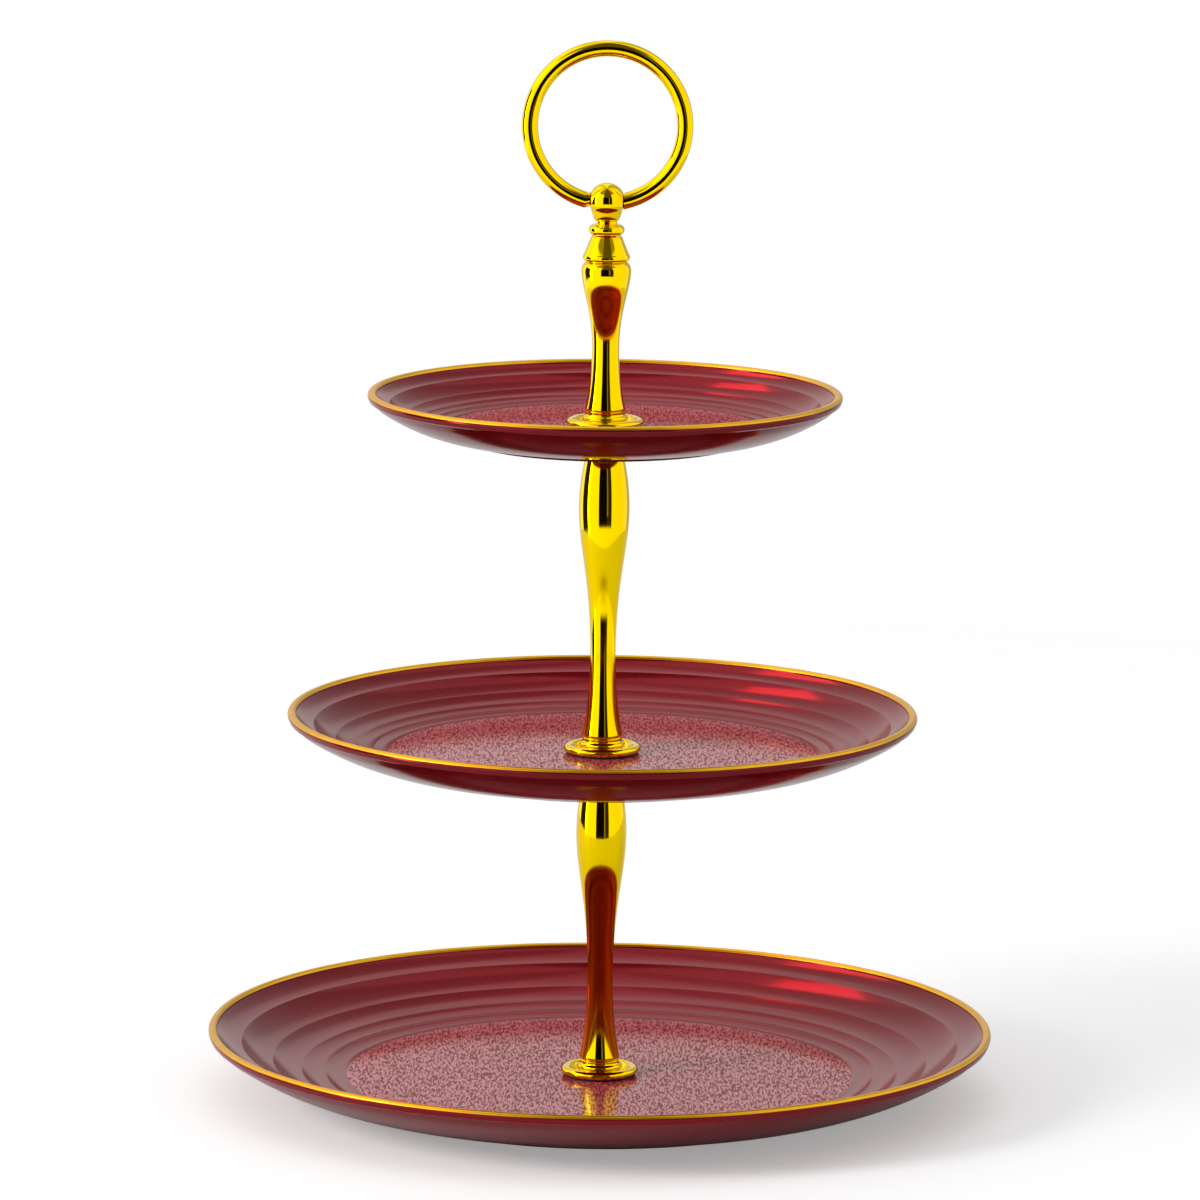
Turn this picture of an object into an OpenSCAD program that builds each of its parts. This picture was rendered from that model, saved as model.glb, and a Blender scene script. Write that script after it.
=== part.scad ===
// Three-tier cake stand: glazed plates clamped on a gilt centre rod, with a ring handle.
// Millimetres. Origin: centre of the bottom plate's foot ring on the table; +Z up, front is -Y.
// Every height is worked out from the stack: foot, plate, seal, saucer, column, seal, plate.

/* [Plates] */
// outer diameter of the bottom plate
bottom_d = 254; // [200:1:320]
// outer diameter of the middle plate
middle_d = 203.2; // [160:1:260]
// outer diameter of the top plate
top_d = 152.4; // [120:1:200]
// radius of the bottom plate's level grained floor
bottom_floor_r = 82; // [60:0.5:110]
// radius of the middle plate's level grained floor
middle_floor_r = 69.1; // [48:0.5:88]
// radius of the top plate's level grained floor
top_floor_r = 50.7; // [36:0.5:68]
// rise from the bottom plate's floor to its rim
bottom_depth = 16.3; // [10:0.1:24]
// rise from the middle plate's floor to its rim
middle_depth = 14; // [9:0.1:22]
// rise from the top plate's floor to its rim
top_depth = 11.4; // [8:0.1:18]
// thickness of each plate at its floor
plate_t = 3; // [2.4:0.1:6]
// outer radius of the bottom plate's foot ring
bottom_foot_r = 80; // [50:0.5:100]
// outer radius of the middle plate's foot ring
middle_foot_r = 61; // [36:0.5:80]
// outer radius of the top plate's foot ring
top_foot_r = 45; // [28:0.5:60]
// gap between the base screw's head and the table, inside the bottom plate's foot ring
screw_gap = 0.4; // [0.3:0.1:5]
// height of the foot rings under the two upper plates
upper_foot_h = 1.4; // [0.8:0.1:4]
// width of a foot ring across its sole
foot_w = 3.2; // [2:0.1:6]
// radius of the rounded rim
rim_r = 1.4; // [0.6:0.1:2]
// height of the steep lip under the rim
lip_h = 5.2; // [3:0.1:8]
// how far the lip draws in over its height
lip_in = 3.4; // [1:0.1:6]
// how far a terrace sags below its own chord, as a share of the chord
terrace_sag = 0.07; // [0.02:0.005:0.1]

/* [Centre rod] */
// clear height from one plate's floor to the next plate's floor
tier_pitch = 106.4; // [80:0.1:140]
// radius of a column's foot
column_foot_r = 7.4; // [6:0.1:10]
// radius of a tier column at its waist
waist_r = 4.1; // [3.4:0.05:6]
// radius of a tier column at its belly
belly_r = 8.15; // [6:0.05:12]
// radius of a tier column's top seat
column_top_r = 5; // [4.2:0.1:8]
// height of the waist above the column's foot
waist_h = 30.5; // [20:0.5:36]
// height of the belly above the column's foot
belly_h = 78; // [58:0.5:88]

/* [Handle column] */
// height of the short column under the cone cap
handle_h = 52.1; // [44:0.1:70]
// radius of the short column at its waist
handle_waist_r = 4.35; // [3.6:0.05:6]
// height of its waist above its foot
handle_waist_h = 24; // [18:0.5:30]
// radius of its bulb
bulb_r = 8; // [6:0.05:12]
// how far below its top the bulb is widest
bulb_drop = 3.3; // [2:0.1:6]
// height of the cone cap
cone_h = 8; // [5:0.1:14]
// radius of the cone cap's lower edge
cone_base_r = 7.6; // [6:0.05:11]
// radius of the cone cap's top
cone_top_r = 5; // [4:0.05:8]
// radius of the finial's collar
collar_r = 5.75; // [4.6:0.05:8]
// height of the finial's collar
collar_h = 4; // [2.5:0.1:6]
// height from the collar's seat to the middle of the ball
ball_rise = 11.4; // [10:0.1:16]
// radius of the ball
ball_r = 5.8; // [5:0.05:8]
// radius of the neck between collar and ball
neck_r = 3.3; // [2.6:0.05:5]
// how far below its middle the ball has tapered to the neck
taper_h = 6.5; // [6:0.1:9]

/* [Ring handle] */
// outer diameter of the ring
ring_d = 54.7; // [44:0.1:70]
// diameter of the ring's wire
wire_d = 5.2; // [4.2:0.1:7]
// radius of the two pivot pins on the ring's ends
pin_r = 1.5; // [1:0.05:1.8]
// length of each pin inside the ball
pin_l = 3.6; // [2:0.1:4.4]
// gap between the ball and the ring's ends
ring_gap = 0.25; // [0.15:0.05:0.6]
// running clearance of a pin in the ball's cross bore, on the radius
pin_clear = 0.05; // [0.02:0.01:0.09]

/* [Seats and fasteners] */
// gap all round between a column's foot and its saucer's rolled edge
foot_gap = 1.5; // [0.8:0.1:4]
// width of a saucer's rolled edge
roll_w = 3.6; // [2.4:0.1:6]
// height of a saucer
saucer_h = 2.4; // [1.8:0.1:4]
// thickness of a saucer's floor
saucer_t = 0.8; // [0.6:0.1:1.6]
// how far the soft seal's edge stays inside the saucer's
seal_in = 0.9; // [0:0.1:3]
// thickness of the soft seals on and under the plates
seal_t = 0.7; // [0.4:0.1:1.5]
// radius of the soft seal between a column's top and a plate
under_seal_r = 8; // [5.4:0.1:12]
// nominal radius of the threads (M5)
thread_r = 2.5; // [2:0.25:3]
// clearance of a thread in its tapped hole, on the radius
thread_clear = 0.05; // [0.02:0.01:0.1]
// clearance of a thread in a plain hole, on the radius
hole_clear = 0.5; // [0.3:0.1:1]
// length of thread engaged in each column end
engage = 12; // [8:0.5:13]
// extra depth of a tapped hole beyond its thread
tap_extra = 1.5; // [0.5:0.1:3]
// thickness of the seal under the bottom plate
base_seal_t = 0.5; // [0.3:0.1:0.8]
// radius of the steel washer under the bottom plate
washer_r = 9; // [7:0.1:14]
// thickness of that washer
washer_t = 0.5; // [0.4:0.1:1]
// radius of the base screw's low head
head_r = 4.8; // [4:0.1:6]
// height of the base screw's low head
head_h = 1.3; // [1:0.1:2]
// width of a bar of the cross recess in the head
drive_w = 0.9; // [0.6:0.1:1.4]

/* [Hidden] */
$fn = 96;
eps = 0.01;
steps = 6;                               // points along one terrace or edge curve
curve_steps = 14;                        // points along one column curve
// where the terrace edges fall, as shares of the slope's width and of its depth
edge_out = [0, 0.19, 0.43, 0.65, 0.84, 1];
edge_down = [0, 0.24, 0.63, 0.84, 0.94, 1];

hole_r = thread_r + hole_clear;          // plain holes in plates, seals, saucers and cap
dish_r = column_foot_r + foot_gap;
saucer_r = dish_r + roll_w;
seal_r = saucer_r - seal_in;
bottom_foot_h = base_seal_t + washer_t + head_h + screw_gap;
bottom_floor_z = bottom_foot_h + plate_t;
middle_floor_z = bottom_floor_z + tier_pitch;
top_floor_z = middle_floor_z + tier_pitch;
column_z = seal_t + saucer_t;            // a column's foot above its plate's floor
column_l = tier_pitch - plate_t - seal_t - column_z;
handle_z = top_floor_z + column_z;
cone_z = handle_z + handle_h;
collar_z = cone_z + cone_h;
ball_z = collar_z + ball_rise;
wire_r = wire_d / 2;
ring_r = ring_d / 2 - wire_r;            // radius of the wire's centreline
ring_rise = sqrt(ring_r * ring_r - ball_r * ball_r);
stud_l = 2 * engage + seal_t + plate_t + column_z;
foot_flare = 0.5;                        // a foot ring widens by this up to the plate
foot_bead = 1.15;                        // radius of the bead round a column's foot
foot_top = [column_foot_r - 0.85, 4.4];  // where the foot's outline meets the column
cheek = 28;                              // angle below level where the ball's taper starts
ball_cheek = [ball_r * cos(cheek), ball_rise - ball_r * sin(cheek)];
throat = [neck_r, ball_rise - taper_h];
mark = [0.84, 0.68, 0.28];
glaze = [0.45, 0.09, 0.12];
black = [0.1, 0.1, 0.1];
steel = [0.7, 0.7, 0.72];

// points of a smooth curve from a to d that leaves towards b and arrives from c, without a
function curve(a, b, c, d, n) = [for (i = [1 : n]) let (t = i / n, u = 1 - t)
    u * u * u * a + 3 * u * u * t * b + 3 * u * t * t * c + t * t * t * d];
// points of a round edge about a centre, from one angle to another
function round_edge(c, r, from, to, n) = [for (i = [0 : n])
    let (w = from + (to - from) * i / n) c + r * [cos(w), sin(w)]];
// points of a shallow sag below the chord from a up to b, leaving a out
function sag(a, b, k, n) = [for (i = [1 : n]) let (t = i / n, d = b - a)
    a + t * d + 4 * k * t * (1 - t) * [d[1], -d[0]]];

module lathe(points) rotate_extrude() polygon(points);

module washer_ring(r, inner, t) difference() {
    cylinder(r = r, h = t);
    translate([0, 0, -1]) cylinder(r = inner, h = t + 2);
}

// A plate with its floor at z 0: terraced slope, rounded rim, steep lip and foot ring.
module plate(d, floor_r, depth, foot_r, foot_h) {
    outer = d / 2;
    slope_r = outer - 2 * rim_r;
    under = -plate_t;
    sole = under - foot_h;
    drop = depth - rim_r;
    edges = [for (i = [0 : len(edge_out) - 1])
        [slope_r - (slope_r - floor_r) * edge_out[i], drop * (1 - edge_down[i])]];
    lip = [outer - lip_in, depth - lip_h];
    root = [foot_r + foot_flare, under - foot_h * 0.35];
    knee = [root[0] + (lip[0] - root[0]) * 0.545, root[1] + depth * 0.12];
    lathe(concat(
        [[hole_r, under], [hole_r, 0]],
        [edges[5]],
        [for (i = [4 : -1 : 0]) each sag(edges[i + 1], edges[i], terrace_sag, steps)],
        round_edge([outer - rim_r, depth - rim_r], rim_r, 165, -25, 10),
        [[outer - 0.36 * rim_r, depth - 2.05 * rim_r],
            [outer - 0.95 * rim_r, depth - 2.35 * rim_r]],
        [for (i = [0 : 12]) let (t = i / 12, u = 1 - t)
            u * u * lip + 2 * u * t * knee + t * t * root],
        [[foot_r, sole + 0.5], [foot_r - 0.6, sole], [foot_r - foot_w, sole],
            [foot_r - foot_w - 0.6, sole + 0.5], [foot_r - foot_w - 0.9, under]]));
}

// A rolled-edge saucer with its underside at z 0.
module saucer() {
    wide = roll_w / 2;
    high = saucer_h * 0.58;
    lathe(concat(
        [[hole_r, 0]],
        [for (i = [0 : 14]) let (w = -45 + 234 * i / 14)
            [saucer_r - wide + wide * cos(w), saucer_h - high + high * sin(w)]],
        [[dish_r - 0.1, saucer_t], [hole_r, saucer_t]]));
}

// The outline of a column's foot, a bead with a groove above it, up to foot_top.
foot_points = concat(
    [[0, 0], [column_foot_r - foot_bead, 0]],
    round_edge([column_foot_r - foot_bead, foot_bead + 0.25], foot_bead, -75, 75, 8),
    [[column_foot_r - 1.05, 2.9], [column_foot_r - 1, 3.5], foot_top]);

// A tier column with its foot at z 0 and a tapped hole in each end.
module column() {
    seat = column_l - 0.8;
    rise = waist_h - foot_top[1];
    waist = [waist_r, waist_h];
    belly = [belly_r, belly_h];
    difference() {
        lathe(concat(
            foot_points,
            curve(foot_top, [foot_top[0] - 1.15, foot_top[1] + rise * 0.2],
                [waist_r, waist_h - rise * 0.43], waist, curve_steps),
            curve(waist, [waist_r, waist_h + (belly_h - waist_h) * 0.524],
                [belly_r - 0.18, waist_h + (belly_h - waist_h) * 0.712], belly, curve_steps),
            curve(belly, [belly_r, belly_h + (seat - belly_h) * 0.38],
                [belly_r * 0.86, belly_h + (seat - belly_h) * 0.647],
                [column_top_r, seat], curve_steps),
            [[column_top_r, column_l - 0.3], [column_top_r - 0.3, column_l], [0, column_l]]));
        translate([0, 0, -1]) cylinder(r = thread_r + thread_clear, h = engage + tap_extra + 1);
        translate([0, 0, column_l - engage - tap_extra])
            cylinder(r = thread_r + thread_clear, h = engage + tap_extra + 1);
    }
}

// A threaded stud with its lower end at z 0.
module stud() {
    lathe([[0, 0], [thread_r - 0.5, 0], [thread_r, 0.5], [thread_r, stud_l - 0.5],
        [thread_r - 0.5, stud_l], [0, stud_l]]);
}

module bottom_plate() color(glaze) translate([0, 0, bottom_floor_z])
    plate(bottom_d, bottom_floor_r, bottom_depth, bottom_foot_r, bottom_foot_h);
module middle_plate() color(glaze) translate([0, 0, middle_floor_z])
    plate(middle_d, middle_floor_r, middle_depth, middle_foot_r, upper_foot_h);
module top_plate() color(glaze) translate([0, 0, top_floor_z])
    plate(top_d, top_floor_r, top_depth, top_foot_r, upper_foot_h);

module lower_saucer() color(mark) translate([0, 0, bottom_floor_z + seal_t]) saucer();
module middle_saucer() color(mark) translate([0, 0, middle_floor_z + seal_t]) saucer();
module upper_saucer() color(mark) translate([0, 0, top_floor_z + seal_t]) saucer();

module lower_column() color(mark) translate([0, 0, bottom_floor_z + column_z]) column();
module middle_column() color(mark) translate([0, 0, middle_floor_z + column_z]) column();

// The short column: flared foot, waist and a bulb with a tapped hole in its top.
module handle_column() color(mark) translate([0, 0, handle_z]) {
    waist = [handle_waist_r, handle_waist_h];
    bulb = [bulb_r, handle_h - bulb_drop];
    rise = bulb[1] - handle_waist_h;
    difference() {
        lathe(concat(
            foot_points,
            curve(foot_top, [foot_top[0] - 1.05, handle_waist_h * 0.35],
                [handle_waist_r, handle_waist_h * 0.66], waist, curve_steps),
            curve(waist, [handle_waist_r, handle_waist_h + rise * 0.48],
                [bulb_r - 0.4, handle_waist_h + rise * 0.73], bulb, curve_steps),
            curve(bulb, [bulb_r, handle_h - bulb_drop * 0.5],
                [bulb_r - 0.6, handle_h - 0.6], [bulb_r - 1.6, handle_h], steps),
            [[0, handle_h]]));
        translate([0, 0, -1]) cylinder(r = thread_r + thread_clear, h = engage + tap_extra + 1);
        translate([0, 0, handle_h - engage - tap_extra])
            cylinder(r = thread_r + thread_clear, h = engage + tap_extra + 1);
    }
}

module cone_cap() color(mark) translate([0, 0, cone_z]) lathe([
    [hole_r, 0], [cone_base_r - 1.2, 0], [cone_base_r - 0.5, 0.5], [cone_base_r, 1.3],
    [cone_base_r - 0.1, 1.9], [cone_top_r, cone_h - 0.2], [cone_top_r - 0.2, cone_h],
    [hole_r, cone_h]]);

// Collar, neck and ball in one turned piece, with a threaded shank below and a cross bore.
module ball_finial() color(mark) translate([0, 0, collar_z]) difference() {
    union() {
        lathe(concat(
            [[0, 0], [collar_r - 1.1, 0]],
            round_edge([collar_r - 1.75, collar_h / 2 + 0.15], 1.75, -60, 72, 9),
            [[neck_r + 0.25, collar_h], [neck_r, collar_h + 0.3], throat],
            curve(throat, throat + [1.2, 0.35],
                ball_cheek - [0.52, 0.97], ball_cheek, curve_steps),
            [[0, ball_cheek[1]]]));
        translate([0, 0, ball_rise]) sphere(r = ball_r);
        translate([0, 0, -cone_h - engage]) cylinder(r = thread_r, h = cone_h + engage + 1);
    }
    translate([0, 0, ball_rise]) rotate([0, 90, 0])
        cylinder(r = pin_r + pin_clear, h = 2 * ball_r + 2, center = true);
}

// The ring's wire is open at the ball; each end carries a pin that turns in the cross bore.
module ring_handle() color(mark) translate([0, 0, ball_z]) {
    pin_from = ball_r - pin_l;
    difference() {
        translate([0, 0, ring_rise]) rotate([90, 0, 0])
            rotate_extrude() translate([ring_r, 0]) circle(r = wire_r);
        sphere(r = ball_r + ring_gap);
    }
    for (side = [0, 180]) rotate([0, 0, side]) translate([pin_from, 0, 0])
        rotate([0, 90, 0]) cylinder(r = pin_r, h = pin_l + wire_r);
}

module lower_seal() color(black) translate([0, 0, bottom_floor_z])
    washer_ring(seal_r, hole_r, seal_t);
module middle_seal() color(black) translate([0, 0, middle_floor_z])
    washer_ring(seal_r, hole_r, seal_t);
module upper_seal() color(black) translate([0, 0, top_floor_z])
    washer_ring(seal_r, hole_r, seal_t);
module middle_under_seal() color(black)
    translate([0, 0, middle_floor_z - plate_t - seal_t])
    washer_ring(under_seal_r, hole_r, seal_t);
module upper_under_seal() color(black)
    translate([0, 0, top_floor_z - plate_t - seal_t])
    washer_ring(under_seal_r, hole_r, seal_t);
module base_seal() color(black)
    translate([0, 0, bottom_foot_h - base_seal_t])
    washer_ring(washer_r, hole_r, base_seal_t);

module lower_stud() color(steel)
    translate([0, 0, middle_floor_z - plate_t - seal_t - engage]) stud();
module upper_stud() color(steel)
    translate([0, 0, top_floor_z - plate_t - seal_t - engage]) stud();
module base_washer() color(steel)
    translate([0, 0, bottom_foot_h - base_seal_t - washer_t])
    washer_ring(washer_r, hole_r, washer_t);

// A low-headed screw, head down, that pulls the bottom plate up against the lower column.
module base_screw() color(steel)
    translate([0, 0, bottom_foot_h - base_seal_t - washer_t]) {
    shank = washer_t + base_seal_t + plate_t + column_z + engage;
    difference() {
        lathe([[0, -head_h], [head_r - 0.5, -head_h], [head_r, 0.5 - head_h], [head_r, 0],
            [thread_r, 0], [thread_r, shank - 0.5], [thread_r - 0.5, shank], [0, shank]]);
        for (turn = [0, 90]) rotate([0, 0, turn])
            translate([-head_r * 0.55, -drive_w / 2, -head_h - 1])
            cube([head_r * 1.1, drive_w, 1 + head_h * 0.6]);
    }
}

bottom_plate();
middle_plate();
top_plate();
lower_saucer();
middle_saucer();
upper_saucer();
lower_column();
middle_column();
handle_column();
cone_cap();
ball_finial();
ring_handle();
lower_seal();
middle_seal();
upper_seal();
middle_under_seal();
upper_under_seal();
base_seal();
lower_stud();
upper_stud();
base_washer();
base_screw();
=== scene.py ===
"""Looks for the three-tier cake stand: glazed plates, gilt rod, ring handle."""
import math

import bmesh
import bpy
from mathutils import Matrix, Vector


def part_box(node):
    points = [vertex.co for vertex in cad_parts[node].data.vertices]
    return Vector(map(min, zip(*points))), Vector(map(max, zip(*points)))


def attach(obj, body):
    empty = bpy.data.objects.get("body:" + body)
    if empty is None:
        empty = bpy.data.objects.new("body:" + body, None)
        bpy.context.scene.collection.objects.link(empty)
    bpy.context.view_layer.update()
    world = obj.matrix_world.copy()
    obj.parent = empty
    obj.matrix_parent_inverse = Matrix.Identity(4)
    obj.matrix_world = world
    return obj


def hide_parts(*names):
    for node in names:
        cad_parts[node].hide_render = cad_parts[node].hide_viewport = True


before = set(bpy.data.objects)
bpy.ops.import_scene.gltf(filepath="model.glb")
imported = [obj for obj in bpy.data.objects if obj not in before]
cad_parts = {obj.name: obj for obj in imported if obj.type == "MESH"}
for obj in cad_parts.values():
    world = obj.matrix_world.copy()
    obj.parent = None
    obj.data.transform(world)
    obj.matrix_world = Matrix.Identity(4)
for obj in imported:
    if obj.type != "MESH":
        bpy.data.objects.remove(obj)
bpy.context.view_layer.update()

MM = 0.001
LATHE_STEPS = 180

# ---------------------------------------------------------------- materials


def linear(hex_colour):
    """A hex sRGB colour as linear RGBA."""
    parts = [int(hex_colour[i : i + 2], 16) / 255 for i in (0, 2, 4)]
    return [c / 12.92 if c <= 0.04045 else ((c + 0.055) / 1.055) ** 2.4 for c in parts] + [1]


def add(tree, kind, inputs=None, **settings):
    """Adds a node with its settings; an input is a value, a socket to link, or a node to link."""
    node = tree.nodes.new(kind)
    for name, value in settings.items():
        setattr(node, name, value)
    for key, value in (inputs or {}).items():
        by_name = [s for s in node.inputs if s.name == key and s.enabled]
        socket = node.inputs[key] if isinstance(key, int) else by_name[0]
        if isinstance(value, bpy.types.Node):
            value = next(s for s in value.outputs if s.enabled)
        if isinstance(value, bpy.types.NodeSocket):
            tree.links.new(value, socket)
        else:
            socket.default_value = value
    return node


def new_material(name):
    material = bpy.data.materials.new(name)
    material.use_nodes = True
    tree = material.node_tree
    tree.nodes.clear()
    return material, tree


def finish_material(tree, shader):
    add(tree, "ShaderNodeOutputMaterial", {"Surface": shader.outputs[0]})


def glazed_slope():
    """Glossy lustre glaze on the turned slope: sharp, partly red reflections over a deep burgundy
    that pools in slow patches about 35 mm across, with specks and a faint ripple from firing."""
    material, tree = new_material("burgundy_glaze")
    coords = add(tree, "ShaderNodeTexCoord").outputs["Object"]
    patches = add(tree, "ShaderNodeTexNoise", {"Vector": coords, "Scale": 1 / 0.035, "Detail": 3.0})
    colour = add(
        tree,
        "ShaderNodeMix",
        {"Factor": patches.outputs["Fac"], "A": linear("7E1019"), "B": linear("8A161F")},
        data_type="RGBA",
    )
    specks = add(tree, "ShaderNodeTexNoise", {"Vector": coords, "Scale": 1 / 0.0009, "Detail": 2.0})
    speck_mask = add(
        tree,
        "ShaderNodeMapRange",
        {"Value": specks.outputs["Fac"], "From Min": 0.6, "From Max": 0.75, "To Max": 0.35},
    )
    speckled = add(
        tree,
        "ShaderNodeMix",
        {"Factor": speck_mask, "A": colour, "B": linear("A03A42")},
        data_type="RGBA",
    )
    ripple = add(tree, "ShaderNodeTexNoise", {"Vector": coords, "Scale": 1 / 0.006, "Detail": 2.0})
    bump = add(
        tree,
        "ShaderNodeBump",
        {"Height": ripple.outputs["Fac"], "Strength": 0.25, "Distance": 0.00003},
    )
    shader = add(
        tree,
        "ShaderNodeBsdfPrincipled",
        {
            "Base Color": speckled,
            "Metallic": 0.4,
            "Roughness": 0.14,
            "IOR": 1.5,
            "Specular IOR Level": 0.22,
            "Normal": bump,
        },
    )
    finish_material(tree, shader)
    return material


def glazed_grain():
    """The level floor's relief of short strokes, about 0.7 mm from crest to crest and 4 mm long, with a
    painted highlight that makes the crests lighter pink and shinier and painted shade that makes the
    hollows darker and duller."""
    material, tree = new_material("burgundy_grained_glaze")
    coords = add(tree, "ShaderNodeTexCoord").outputs["Object"]
    drawn_out = add(tree, "ShaderNodeMapping", {"Vector": coords, "Scale": (1, 0.18, 1)})
    grain = add(
        tree,
        "ShaderNodeTexNoise",
        {"Vector": drawn_out, "Scale": 1 / 0.0007, "Detail": 1.0, "Roughness": 0.5, "Distortion": 0.5},
    )
    crests = add(
        tree,
        "ShaderNodeMapRange",
        {"Value": grain.outputs["Fac"], "From Min": 0.4, "From Max": 0.6},
        interpolation_type="SMOOTHSTEP",
    )
    # painted highlight and shade: lighter pink on the crests, darker in the hollows
    colour = add(
        tree,
        "ShaderNodeMix",
        {"Factor": crests, "A": linear("8A2C33"), "B": linear("CC5F64")},
        data_type="RGBA",
    )
    bump = add(
        tree,
        "ShaderNodeBump",
        {"Height": crests, "Strength": 0.06, "Distance": 0.00008},
    )
    # painted shade: the hollows reflect less than the crests
    gloss = add(tree, "ShaderNodeMapRange", {"Value": crests, "To Min": 0.02, "To Max": 0.42})
    shader = add(
        tree,
        "ShaderNodeBsdfPrincipled",
        {
            "Base Color": colour,
            "Roughness": 0.13,
            "IOR": 1.5,
            "Specular IOR Level": gloss,
            "Normal": bump,
        },
    )
    finish_material(tree, shader)
    return material


def gilt_metal():
    """Gold-plated, buffed metal: mirror-like, with buffing so fine that it only softens highlights."""
    material, tree = new_material("gold_plated_metal")
    coords = add(tree, "ShaderNodeTexCoord").outputs["Object"]
    buffing = add(tree, "ShaderNodeTexNoise", {"Vector": coords, "Scale": 1 / 0.004, "Detail": 4.0})
    sheen = add(
        tree,
        "ShaderNodeMapRange",
        {"Value": buffing.outputs["Fac"], "To Min": 0.03, "To Max": 0.09},
    )
    plating = add(
        tree,
        "ShaderNodeMix",
        {"Factor": buffing.outputs["Fac"], "A": linear("FFDE00"), "B": linear("FFD600")},
        data_type="RGBA",
    )
    shader = add(
        tree,
        "ShaderNodeBsdfPrincipled",
        {"Base Color": plating, "Metallic": 1.0, "Roughness": sheen},
    )
    finish_material(tree, shader)
    return material


def gilt_line():
    """Fired gold lustre brushed on the rim by hand: a warmer, slightly uneven gold."""
    material, tree = new_material("fired_gold_line")
    coords = add(tree, "ShaderNodeTexCoord").outputs["Object"]
    strokes = add(tree, "ShaderNodeTexNoise", {"Vector": coords, "Scale": 1 / 0.008, "Detail": 3.0})
    tone = add(
        tree,
        "ShaderNodeMix",
        {"Factor": strokes.outputs["Fac"], "A": linear("F6C42C"), "B": linear("E2A414")},
        data_type="RGBA",
    )
    shader = add(
        tree,
        "ShaderNodeBsdfPrincipled",
        {"Base Color": tone, "Metallic": 1.0, "Roughness": 0.34},
    )
    finish_material(tree, shader)
    return material


def seal_rubber():
    """Moulded black rubber: matte, with a fine powdery bloom."""
    material, tree = new_material("black_seal_rubber")
    coords = add(tree, "ShaderNodeTexCoord").outputs["Object"]
    bloom = add(tree, "ShaderNodeTexNoise", {"Vector": coords, "Scale": 1 / 0.0012, "Detail": 3.0})
    tone = add(
        tree,
        "ShaderNodeMix",
        {"Factor": bloom.outputs["Fac"], "A": linear("0B0707"), "B": linear("151010")},
        data_type="RGBA",
    )
    shader = add(
        tree, "ShaderNodeBsdfPrincipled", {"Base Color": tone, "Roughness": 0.6, "IOR": 1.5}
    )
    finish_material(tree, shader)
    return material


def zinc_steel():
    """Zinc-plated steel: a pale satin grey with a fine spangle."""
    material, tree = new_material("zinc_plated_steel")
    coords = add(tree, "ShaderNodeTexCoord").outputs["Object"]
    spangle = add(tree, "ShaderNodeTexNoise", {"Vector": coords, "Scale": 1 / 0.0015, "Detail": 3.0})
    rough = add(
        tree,
        "ShaderNodeMapRange",
        {"Value": spangle.outputs["Fac"], "To Min": 0.22, "To Max": 0.4},
    )
    tone = add(
        tree,
        "ShaderNodeMix",
        {"Factor": spangle.outputs["Fac"], "A": linear("BFC1C4"), "B": linear("D2D3D4")},
        data_type="RGBA",
    )
    shader = add(
        tree,
        "ShaderNodeBsdfPrincipled",
        {"Base Color": tone, "Metallic": 1.0, "Roughness": rough},
    )
    finish_material(tree, shader)
    return material


slope_glaze = glazed_slope()
grain_glaze = glazed_grain()
gilt = gilt_metal()
rim_gold = gilt_line()
rubber = seal_rubber()
zinc = zinc_steel()

# ---------------------------------------------------------------- pieces


def curve_points(a, b, c, d, count):
    """Points of a smooth curve from a to d that leaves towards b and arrives from c, without a."""
    out = []
    for i in range(1, count + 1):
        t = i / count
        u = 1 - t
        out.append(
            tuple(
                u**3 * a[k] + 3 * u * u * t * b[k] + 3 * u * t * t * c[k] + t**3 * d[k]
                for k in (0, 1)
            )
        )
    return out


def round_points(centre, radius, start, end, count):
    """Points of a round edge about a centre, between two angles in degrees."""
    return [
        (centre[0] + radius * math.cos(w), centre[1] + radius * math.sin(w))
        for w in (math.radians(start + (end - start) * i / count) for i in range(count + 1))
    ]


def sag_points(a, b, sag, count):
    """Points of a shallow sag below the chord from a up to b, without a."""
    dr, dz = b[0] - a[0], b[1] - a[1]
    out = []
    for i in range(1, count + 1):
        t = i / count
        k = 4 * sag * t * (1 - t)
        out.append((a[0] + t * dr + k * dz, a[1] + t * dz - k * dr))
    return out


def lathe(name, outline, foot_z, materials, slot_of=None, closed=True, sharp=35):
    """Spins an outline of (radius, height) in millimetres about the rod, foot_z metres up."""
    mesh = bpy.data.meshes.new(name)
    bm = bmesh.new()
    ring = [bm.verts.new((r * MM, 0, foot_z + z * MM)) for r, z in outline]
    edges = [bm.edges.new(pair) for pair in zip(ring, ring[1:])]
    if closed:
        edges.append(bm.edges.new((ring[-1], ring[0])))
    bmesh.ops.spin(
        bm,
        geom=ring + edges,
        cent=(0, 0, 0),
        axis=(0, 0, 1),
        angle=2 * math.pi,
        steps=LATHE_STEPS,
        use_merge=True,
    )
    bmesh.ops.remove_doubles(bm, verts=bm.verts, dist=1e-7)
    bmesh.ops.recalc_face_normals(bm, faces=bm.faces)
    for face in bm.faces:
        face.smooth = True
        if slot_of:
            face.material_index = slot_of(face.calc_center_median())
    bm.to_mesh(mesh)
    bm.free()
    mesh.set_sharp_from_angle(angle=math.radians(sharp))
    for material in materials:
        mesh.materials.append(material)
    piece = bpy.data.objects.new(name, mesh)
    bpy.context.scene.collection.objects.link(piece)
    return piece


def stands_for(piece, node, body):
    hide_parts(node)
    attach(piece, body)


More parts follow.
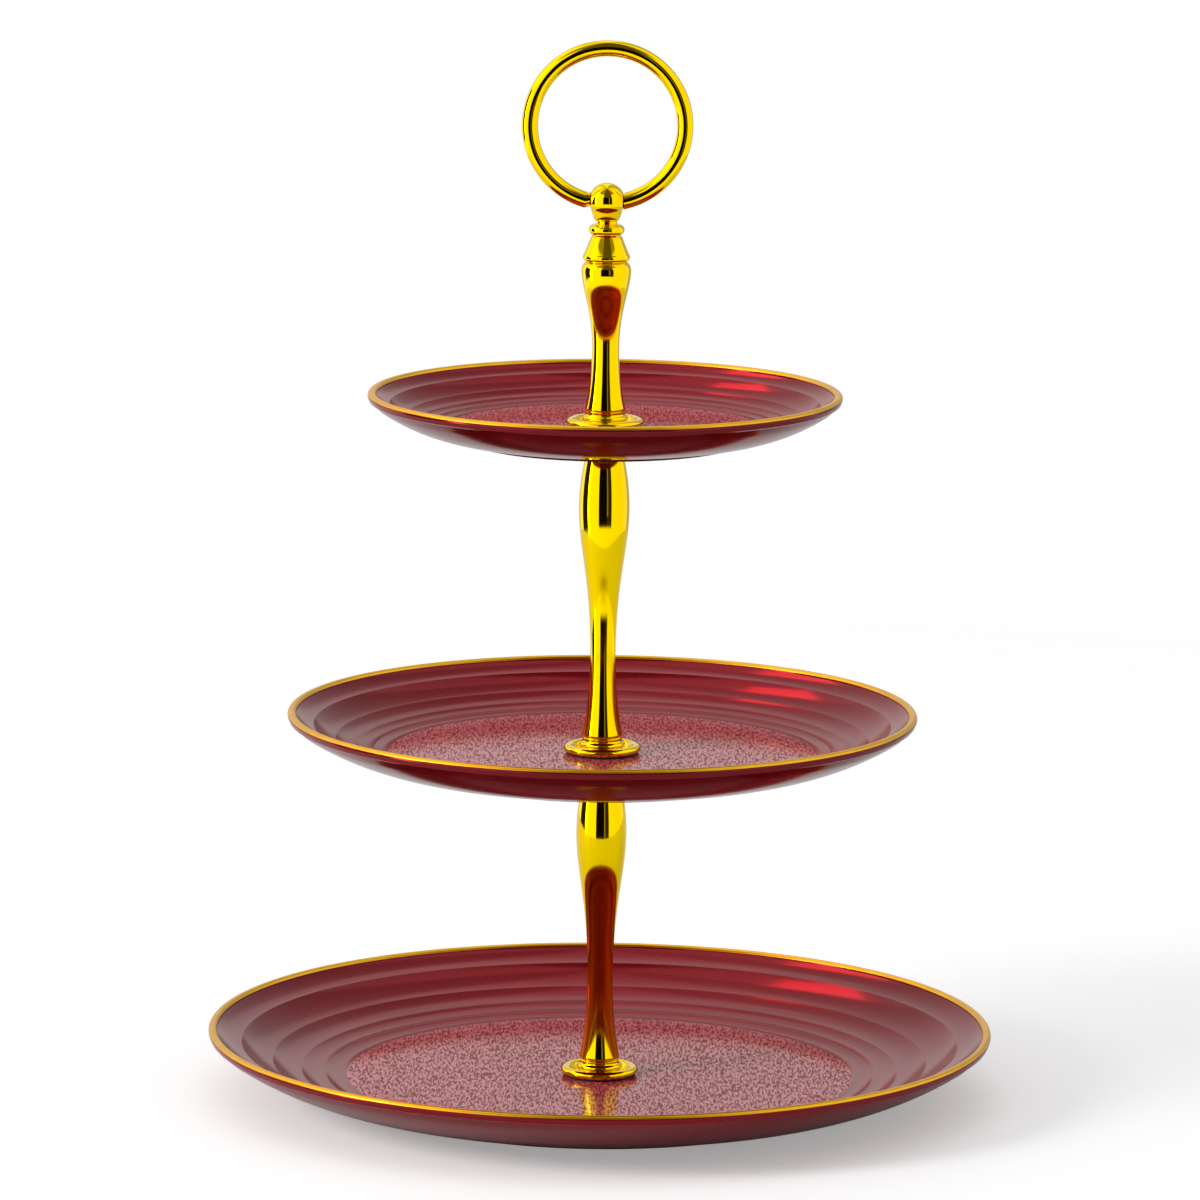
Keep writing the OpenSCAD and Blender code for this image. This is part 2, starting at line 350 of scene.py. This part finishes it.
# The plates. Sizes in millimetres; the terrace edges fall at these shares of the slope.
EDGE_OUT = (0, 0.19, 0.43, 0.65, 0.84, 1)
EDGE_DOWN = (0, 0.24, 0.63, 0.84, 0.94, 1)
HOLE_R = 3.0
RIM_R = 1.4
LIP_H = 5.2
LIP_IN = 3.4
TERRACE_SAG = 0.07
PLATE_T = 3.0
FOOT_W = 3.2
FOOT_FLARE = 0.5
PLATES = {  # node: level floor's radius, rise to the rim, foot ring's radius and height
    "bottom_plate": (82.0, 16.3, 80.0, 2.7),
    "middle_plate": (69.1, 14.0, 61.0, 1.4),
    "top_plate": (50.7, 11.4, 45.0, 1.4),
}


def make_plate(node):
    floor_r, depth, foot_r, foot_h = PLATES[node]
    low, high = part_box(node)
    outer = (high.x - low.x) / 2 / MM
    floor_z = low.z + (foot_h + PLATE_T) * MM
    slope_r = outer - 2 * RIM_R
    under = -PLATE_T
    sole = under - foot_h
    drop = depth - RIM_R
    edges = [
        (slope_r - (slope_r - floor_r) * out, drop * (1 - down))
        for out, down in zip(EDGE_OUT, EDGE_DOWN)
    ]
    lip = (outer - LIP_IN, depth - LIP_H)
    root = (foot_r + FOOT_FLARE, under - foot_h * 0.35)
    knee = (root[0] + (lip[0] - root[0]) * 0.545, root[1] + depth * 0.12)
    outline = [(HOLE_R, under), (HOLE_R, 0)]
    outline += [(HOLE_R + (floor_r - HOLE_R) * t / 6, 0) for t in range(1, 7)]
    for i in range(4, -1, -1):
        outline += sag_points(edges[i + 1], edges[i], TERRACE_SAG, 10)
    outline += round_points((outer - RIM_R, depth - RIM_R), RIM_R, 165, -25, 38)
    outline += [
        (outer - 0.36 * RIM_R, depth - 2.05 * RIM_R),
        (outer - 0.95 * RIM_R, depth - 2.35 * RIM_R),
    ]
    for i in range(21):
        t = i / 20
        u = 1 - t
        outline.append(tuple(u * u * lip[k] + 2 * u * t * knee[k] + t * t * root[k] for k in (0, 1)))
    outline += [
        (foot_r, sole + 0.5),
        (foot_r - 0.6, sole),
        (foot_r - FOOT_W, sole),
        (foot_r - FOOT_W - 0.6, sole + 0.5),
        (foot_r - FOOT_W - 0.9, under),
    ]
    rim_z = floor_z + (depth - 0.66 * RIM_R) * MM
    grain_r = floor_r * MM
    level = floor_z + 0.01 * MM

    def zone(centre):
        r = math.hypot(centre.x, centre.y)
        if centre.z > rim_z:
            return 2
        return 1 if r < grain_r and abs(centre.z - floor_z) < abs(level - floor_z) else 0

    piece = lathe(node + "_body", outline, floor_z, [slope_glaze, grain_glaze, rim_gold], zone, sharp=12)
    stands_for(piece, node, "stand")


for node in PLATES:
    make_plate(node)

# Gilt saucers: a level floor inside a full, rolled edge
SAUCER_T = 0.8
DISH_R = 8.9
for node in ("lower_saucer", "middle_saucer", "upper_saucer"):
    low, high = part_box(node)
    saucer_r = (high.x - low.x) / 2 / MM
    saucer_h = (high.z - low.z) / MM
    roll_wide = (saucer_r - DISH_R) / 2
    roll_high = saucer_h * 0.58
    outline = [(HOLE_R, 0)]
    for i in range(31):
        w = math.radians(-45 + 234 * i / 30)
        outline.append(
            (
                saucer_r - roll_wide + roll_wide * math.cos(w),
                saucer_h - roll_high + roll_high * math.sin(w),
            )
        )
    outline += [(DISH_R - 0.1, SAUCER_T), (HOLE_R, SAUCER_T)]
    stands_for(lathe(node + "_body", outline, low.z, [gilt]), node, "stand")

# Tier columns: a beaded foot, a waist and a belly
COLUMN_FOOT_R = 7.4
FOOT_BEAD = 1.15
FOOT_TOP = (COLUMN_FOOT_R - 0.85, 4.4)
FOOT_OUTLINE = (
    [(0, 0), (COLUMN_FOOT_R - FOOT_BEAD, 0)]
    + round_points((COLUMN_FOOT_R - FOOT_BEAD, FOOT_BEAD + 0.25), FOOT_BEAD, -75, 62, 16)
    + curve_points(
        (COLUMN_FOOT_R - 0.61, 2.415),
        (COLUMN_FOOT_R - 1.12, 2.72),
        (COLUMN_FOOT_R - 1.12, 3.4),
        FOOT_TOP,
        8,
    )
)
WAIST_R = 4.1
BELLY_R = 8.15
COLUMN_TOP_R = 5.0
WAIST_H = 30.5
BELLY_H = 78.0
for node in ("lower_column", "middle_column"):
    low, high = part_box(node)
    length = (high.z - low.z) / MM
    seat = length - 0.8
    waist, belly = (WAIST_R, WAIST_H), (BELLY_R, BELLY_H)
    rise = WAIST_H - FOOT_TOP[1]
    swell = BELLY_H - WAIST_H
    outline = FOOT_OUTLINE + curve_points(
        FOOT_TOP,
        (FOOT_TOP[0] - 1.15, FOOT_TOP[1] + rise * 0.2),
        (WAIST_R, WAIST_H - rise * 0.43),
        waist,
        28,
    )
    outline += curve_points(
        waist, (WAIST_R, WAIST_H + swell * 0.524), (BELLY_R - 0.18, WAIST_H + swell * 0.712), belly, 36
    )
    outline += curve_points(
        belly,
        (BELLY_R, BELLY_H + (seat - BELLY_H) * 0.38),
        (BELLY_R * 0.86, BELLY_H + (seat - BELLY_H) * 0.647),
        (COLUMN_TOP_R, seat),
        28,
    )
    outline += [(COLUMN_TOP_R, length - 0.3), (COLUMN_TOP_R - 0.3, length), (0, length)]
    column = lathe(node + "_body", outline, low.z, [gilt], closed=False)
    stands_for(column, node, "stand")

# Short column under the cone cap
HANDLE_WAIST_R = 4.35
HANDLE_WAIST_H = 24.0
BULB_R = 8.0
BULB_DROP = 3.3
low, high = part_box("handle_column")
length = (high.z - low.z) / MM
waist, bulb = (HANDLE_WAIST_R, HANDLE_WAIST_H), (BULB_R, length - BULB_DROP)
rise = bulb[1] - HANDLE_WAIST_H
outline = FOOT_OUTLINE + curve_points(
    FOOT_TOP,
    (FOOT_TOP[0] - 1.05, HANDLE_WAIST_H * 0.35),
    (HANDLE_WAIST_R, HANDLE_WAIST_H * 0.66),
    waist,
    28,
)
outline += curve_points(
    waist,
    (HANDLE_WAIST_R, HANDLE_WAIST_H + rise * 0.48),
    (BULB_R - 0.4, HANDLE_WAIST_H + rise * 0.73),
    bulb,
    28,
)
outline += curve_points(
    bulb, (BULB_R, length - BULB_DROP * 0.5), (BULB_R - 0.6, length - 0.6), (BULB_R - 1.6, length), 10
)
outline += [(0, length)]
handle_column = lathe("handle_column_body", outline, low.z, [gilt], closed=False)
stands_for(handle_column, "handle_column", "stand")

# Cone cap
CONE_BASE_R = 7.6
CONE_TOP_R = 5.0
low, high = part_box("cone_cap")
cone_h = (high.z - low.z) / MM
start, widest, shoulder = (CONE_BASE_R - 1.2, 0), (CONE_BASE_R, 1.3), (CONE_BASE_R - 0.5, 2.6)
outline = [(HOLE_R, 0), start]
outline += curve_points(start, (CONE_BASE_R - 0.5, 0.1), (CONE_BASE_R, 0.7), widest, 6)
outline += curve_points(widest, (CONE_BASE_R, 1.8), (CONE_BASE_R - 0.2, 2.1), shoulder, 5)
outline += [(CONE_TOP_R, cone_h - 0.2), (CONE_TOP_R - 0.2, cone_h), (HOLE_R, cone_h)]
stands_for(lathe("cone_cap_body", outline, low.z, [gilt]), "cone_cap", "stand")

# Collar, neck and ball: the ball tapers into the neck like a pear
COLLAR_R = 5.75
COLLAR_H = 4.0
BALL_RISE = 11.4
BALL_R = 5.8
NECK_R = 3.3
THROAT = (NECK_R, BALL_RISE - 6.5)
CHEEK = 28
ball_cheek = (
    BALL_R * math.cos(math.radians(CHEEK)),
    BALL_RISE - BALL_R * math.sin(math.radians(CHEEK)),
)
collar_z = high.z
outline = [(0, 0), (COLLAR_R - 1.1, 0)]
outline += round_points((COLLAR_R - 1.75, COLLAR_H / 2 + 0.15), 1.75, -60, 72, 16)
outline += [(NECK_R + 0.25, COLLAR_H), (NECK_R, COLLAR_H + 0.3), THROAT]
outline += curve_points(
    THROAT,
    (THROAT[0] + 1.2, THROAT[1] + 0.35),
    (ball_cheek[0] - 0.52, ball_cheek[1] - 0.97),
    ball_cheek,
    16,
)
outline += round_points((0, BALL_RISE), BALL_R, -CHEEK + 3, 90, 36)
finial = lathe("ball_finial_body", outline, collar_z, [gilt], closed=False)
stands_for(finial, "ball_finial", "stand")

# Ring handle: a wire bent into an open ring whose ends are hollowed to clear the ball
RING_GAP = 0.25
PIN_R = 1.5
PIN_L = 3.6
low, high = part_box("ring_handle")
wire_r = (high.y - low.y) / 2
ring_r = (high.x - low.x) / 2 - wire_r
ring_centre = Vector((0, 0, high.z - wire_r - ring_r))
ball_centre = Vector((0, 0, collar_z + BALL_RISE * MM))
clear_r = (BALL_R + RING_GAP) * MM
# half the ring's opening: where the whole of the wire's section is just clear of the ball
opening = 2 * math.asin((clear_r + 0.7 * MM) / 2 / ring_r)


def make_ring():
    mesh = bpy.data.meshes.new("ring_handle_wire")
    bm = bmesh.new()
    section = bmesh.ops.create_circle(bm, segments=48, radius=wire_r)["verts"]
    first = Matrix.Translation(ring_centre) @ Matrix.Rotation(-opening, 4, "Y") @ Matrix.Translation(
        (0, 0, -ring_r)
    ) @ Matrix.Rotation(math.radians(90), 4, "Y")
    bmesh.ops.transform(bm, matrix=first, verts=section)
    start_edges = list(bm.edges)
    swept = bmesh.ops.spin(
        bm,
        geom=section + start_edges,
        cent=ring_centre,
        axis=(0, -1, 0),
        angle=2 * math.pi - 2 * opening,
        steps=240,
        use_merge=False,
    )["geom_last"]
    last_edges = [e for e in swept if isinstance(e, bmesh.types.BMEdge)]
    for loop, toward in ((start_edges, opening), (last_edges, -opening)):
        tangent = Vector((-math.cos(toward), 0, -math.sin(toward))).normalized()
        new = bmesh.ops.extrude_edge_only(bm, edges=loop)["geom"]
        for v in (g for g in new if isinstance(g, bmesh.types.BMVert)):
            # slide along the wire until the end sits on the hollow about the ball
            heading = tangent if v.co.x > 0 else Vector((-tangent.x, 0, tangent.z))
            out = v.co - ball_centre
            b = out.dot(heading)
            c = out.length_squared - clear_r**2
            v.co += heading * (-b - math.sqrt(max(b * b - c, 0)))
        rim = [g for g in new if isinstance(g, bmesh.types.BMEdge)]
        bmesh.ops.edgeloop_fill(bm, edges=rim)
    for side in (1, -1):
        pin = bmesh.ops.create_cone(
            bm, cap_ends=True, segments=32, radius1=PIN_R * MM, radius2=PIN_R * MM, depth=(PIN_L + 1.6) * MM
        )["verts"]
        middle = (BALL_R - PIN_L + (PIN_L + 1.6) / 2) * MM
        bmesh.ops.transform(
            bm,
            matrix=Matrix.Translation(ball_centre + Vector((side * middle, 0, 0)))
            @ Matrix.Rotation(math.radians(90), 4, "Y"),
            verts=pin,
        )
    bmesh.ops.recalc_face_normals(bm, faces=bm.faces)
    for face in bm.faces:
        face.smooth = True
    bm.to_mesh(mesh)
    bm.free()
    mesh.set_sharp_from_angle(angle=math.radians(40))
    mesh.materials.append(gilt)
    piece = bpy.data.objects.new("ring_handle_wire", mesh)
    bpy.context.scene.collection.objects.link(piece)
    return piece


stands_for(make_ring(), "ring_handle", "ring")

# Carried-over nodes
for node, material in (
    ("lower_seal", rubber),
    ("middle_seal", rubber),
    ("upper_seal", rubber),
    ("middle_under_seal", rubber),
    ("upper_under_seal", rubber),
    ("base_seal", rubber),
    ("lower_stud", zinc),
    ("upper_stud", zinc),
    ("base_washer", zinc),
    ("base_screw", zinc),
):
    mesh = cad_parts[node].data
    mesh.materials.clear()
    mesh.materials.append(material)

# ---------------------------------------------------------------- stage


FLOOR_Z = -0.0002  # just below the foot ring, so that the two never coincide


def floor_paper():
    """Pale seamless paper with a faint mottle, lifted a little towards white where it is seen."""
    material, tree = new_material("pale_studio_paper")
    coords = add(tree, "ShaderNodeTexCoord").outputs["Object"]
    mottle = add(tree, "ShaderNodeTexNoise", {"Vector": coords, "Scale": 4.0, "Detail": 2.0})
    tone = add(
        tree,
        "ShaderNodeMix",
        {"Factor": mottle.outputs["Fac"], "A": linear("EDEDED"), "B": linear("F2F2F2")},
        data_type="RGBA",
    )
    path = add(tree, "ShaderNodeLightPath")
    lift = add(
        tree, "ShaderNodeMath", {0: path.outputs["Is Camera Ray"], 1: 0.32}, operation="MULTIPLY"
    )
    shader = add(
        tree,
        "ShaderNodeBsdfPrincipled",
        {
            "Base Color": tone,
            "Roughness": 0.7,
            "Emission Color": (1, 1, 1, 1),
            "Emission Strength": lift,
        },
    )
    finish_material(tree, shader)
    return material


def make_floor(name, outer, centre, inner, bounces):
    """A disc of paper, or with an inner radius the rest of the paper around that disc."""
    mesh = bpy.data.meshes.new(name)
    bm = bmesh.new()
    rim = bmesh.ops.create_circle(bm, cap_ends=not inner, segments=128, radius=outer)["verts"]
    bmesh.ops.translate(bm, verts=rim, vec=(*centre, 0))
    if inner:
        bmesh.ops.create_circle(bm, segments=128, radius=inner)
        bmesh.ops.bridge_loops(bm, edges=bm.edges)
        bmesh.ops.recalc_face_normals(bm, faces=bm.faces)
    bmesh.ops.translate(bm, verts=bm.verts, vec=(0, 0, FLOOR_Z))
    bm.to_mesh(mesh)
    bm.free()
    mesh.materials.append(paper)
    floor = bpy.data.objects.new(name, mesh)
    floor.visible_diffuse = bounces
    bpy.context.scene.collection.objects.link(floor)


# The tent seen in reflections: (from, to) turn from -Y towards +X in degrees, (from, to) tilt,
# the brightness there, and how many degrees its edges fade over. Later patches go over earlier.
TENT_PATCHES = (
    ((150, 200), (-30, 36), 0.75, 6),
    ((-200, -150), (-30, 36), 0.75, 6),
    ((-66, 62), (44, 120), 0.3, 4),
    ((128, 166), (-60, 120), 0.5, 8),
    ((-166, -138), (-60, 120), 0.75, 8),
    ((-96, -58), (20, 43), 3.0, 3),
    ((-22, 34), (-17, 120), 0.11, 3),
    ((-22, 34), (-17, 26), 0.03, 2),
    ((-25, 13), (-17, 26), 0.004, 2),
    ((13, 18), (-12, 24), 0.3, 2),
    ((-114, -81), (-17, 20), 0.02, 3),
)
TENT_STRENGTH = 1.1
TENT_LEAN = -0.1  # brighter on the left
DIFFUSE_ABOVE = 0.62
DIFFUSE_BELOW = 0.03
WARM_SHADOW = (1.0, 0.66, 0.4, 1.0)


def make_world():
    """A white tent: open towards -Y and in a gap on the left, and dim overhead."""
    world = bpy.data.worlds.new("white_tent")
    bpy.context.scene.world = world
    world.use_nodes = True
    tree = world.node_tree
    tree.nodes.clear()
    direction = add(tree, "ShaderNodeTexCoord").outputs["Generated"]
    split = add(tree, "ShaderNodeSeparateXYZ", {"Vector": direction})
    x, y, z = split.outputs
    behind = add(tree, "ShaderNodeMath", {0: y, 1: -1.0}, operation="MULTIPLY")
    turn = add(tree, "ShaderNodeMath", {0: x, 1: behind}, operation="ARCTAN2")
    tilt = add(tree, "ShaderNodeMath", {0: z}, operation="ARCSINE")
    tent = add(
        tree,
        "ShaderNodeMath",
        {0: x, 1: TENT_LEAN * TENT_STRENGTH, 2: TENT_STRENGTH},
        operation="MULTIPLY_ADD",
    )
    for turns, tilts, level, soft in TENT_PATCHES:
        inside = []
        for value, (first, last) in ((turn, turns), (tilt, tilts)):
            off_centre = add(
                tree,
                "ShaderNodeMath",
                {0: value, 1: math.radians((first + last) / 2)},
                operation="SUBTRACT",
            )
            away = add(tree, "ShaderNodeMath", {0: off_centre}, operation="ABSOLUTE")
            half = (last - first) / 2
            inside.append(
                add(
                    tree,
                    "ShaderNodeMapRange",
                    {
                        "Value": away,
                        "From Min": math.radians(half - soft / 2),
                        "From Max": math.radians(half + soft / 2),
                        "To Min": 1.0,
                        "To Max": 0.0,
                    },
                    interpolation_type="SMOOTHSTEP",
                )
            )
        mask = add(tree, "ShaderNodeMath", {0: inside[0], 1: inside[1]}, operation="MULTIPLY")
        tent = add(tree, "ShaderNodeMix", {"Factor": mask, "A": tent, "B": level})
    path = add(tree, "ShaderNodeLightPath")
    soft_light = add(
        tree,
        "ShaderNodeMapRange",
        {
            "Value": tilt,
            "From Min": -0.1,
            "From Max": 0.3,
            "To Min": DIFFUSE_BELOW,
            "To Max": DIFFUSE_ABOVE,
        },
    )
    lit = add(
        tree,
        "ShaderNodeMix",
        {"Factor": path.outputs["Is Diffuse Ray"], "A": tent, "B": soft_light},
    )
    seen = add(tree, "ShaderNodeMix", {"Factor": path.outputs["Is Camera Ray"], "A": lit, "B": 1.0})
    bright = add(tree, "ShaderNodeMapRange", {"Value": seen, "From Max": 0.4})
    tint = add(
        tree,
        "ShaderNodeMix",
        {"Factor": bright, "A": WARM_SHADOW, "B": (1, 1, 1, 1)},
        data_type="RGBA",
    )
    shader = add(tree, "ShaderNodeBackground", {"Color": tint, "Strength": seen})
    add(tree, "ShaderNodeOutputWorld", {"Surface": shader})


def make_light(name, place, aim, size, watts, colour, reflected):
    """An area light that either lights the pieces or is only seen reflected in them."""
    data = bpy.data.lights.new(name, "AREA")
    data.shape = "RECTANGLE"
    data.size, data.size_y = size
    data.energy = watts
    data.color = colour
    light = bpy.data.objects.new(name, data)
    light.location = place
    light.rotation_euler = (Vector(aim) - Vector(place)).to_track_quat("-Z", "Y").to_euler()
    light.visible_glossy = reflected
    light.visible_diffuse = not reflected
    bpy.context.scene.collection.objects.link(light)


def make_camera():
    data = bpy.data.cameras.new("camera")
    data.lens = 240.15
    data.sensor_width = 36
    data.clip_end = 50
    camera = bpy.data.objects.new("camera", data)
    camera.location = (-0.0011, -2.539, 0.603)
    turn = Matrix.Rotation(math.radians(90 - 9.85), 3, "X") @ Matrix.Rotation(math.radians(0.5), 3, "Z")
    camera.rotation_euler = turn.to_euler()
    bpy.context.scene.collection.objects.link(camera)
    bpy.context.scene.camera = camera


paper = floor_paper()
make_floor("floor_near", 0.2, (0, 0), 0, True)
make_floor("floor", 0.65, (0, 0.25), 0.2, False)
make_world()
make_light("key_softbox", (-1.78, -0.94, 1.0), (0, 0, 0.12), (0.7, 0.7), 26, (1, 1, 1), False)
make_light("red_glow", (-1.45, 1.2, 2.4), (0, 0, 0.12), (0.9, 0.9), 13, (1, 0.08, 0.12), True)
make_light("lip_glint", (-2.42, -0.64, 0.4), (0, 0, 0.12), (0.4, 2.2), 19, (1, 0.75, 0.8), True)
make_camera()
bpy.context.scene.view_settings.view_transform = "Standard"
bpy.context.scene.view_settings.look = "None"

bpy.context.view_layer.update()
